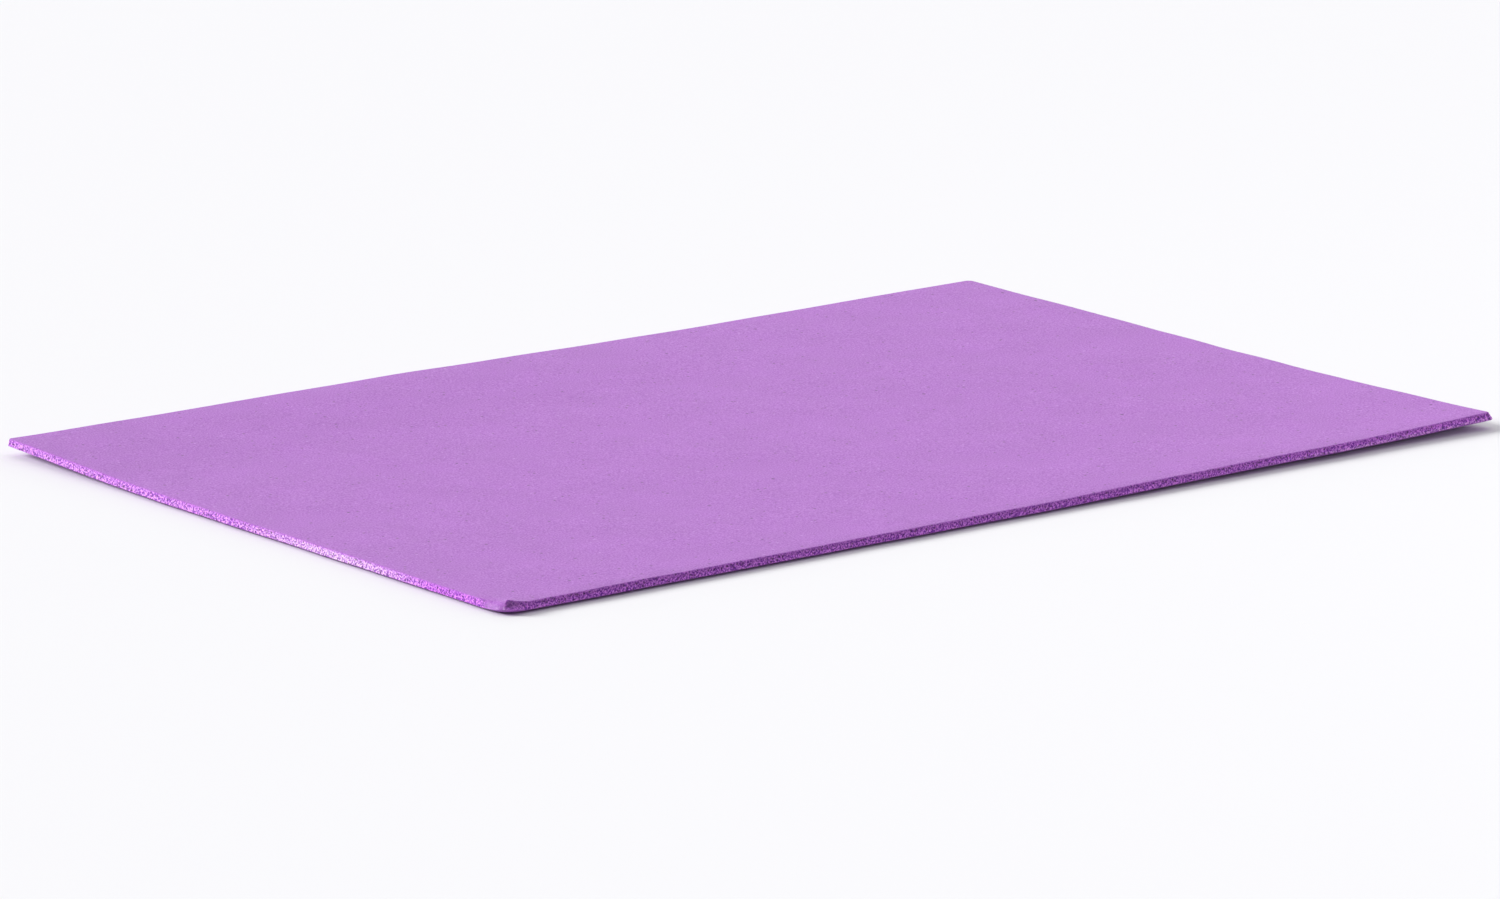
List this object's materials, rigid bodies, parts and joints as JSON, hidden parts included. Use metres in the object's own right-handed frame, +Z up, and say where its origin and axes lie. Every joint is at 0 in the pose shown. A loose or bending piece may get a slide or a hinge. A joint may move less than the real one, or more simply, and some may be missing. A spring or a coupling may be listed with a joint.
{
  "type": "craft foam sheet",
  "caption": "Thin rectangular sheet of soft craft foam with cut edges, lying flat with slightly curled corners.",
  "frame": {"origin": "under the middle of the sheet, on the table that it lies on", "axes": "+X along the long side, +Y along the short side towards the back edge, +Z up through the thickness"},
  "size_m": [0.2287, 0.1525, 0.0033],
  "materials": {
    "foam": "matte, fine closed-cell skin with open grain on the cut edges"
  },
  "bodies": {
    "root": {"foam_sheet": "foam"}
  },
  "joints": []
}
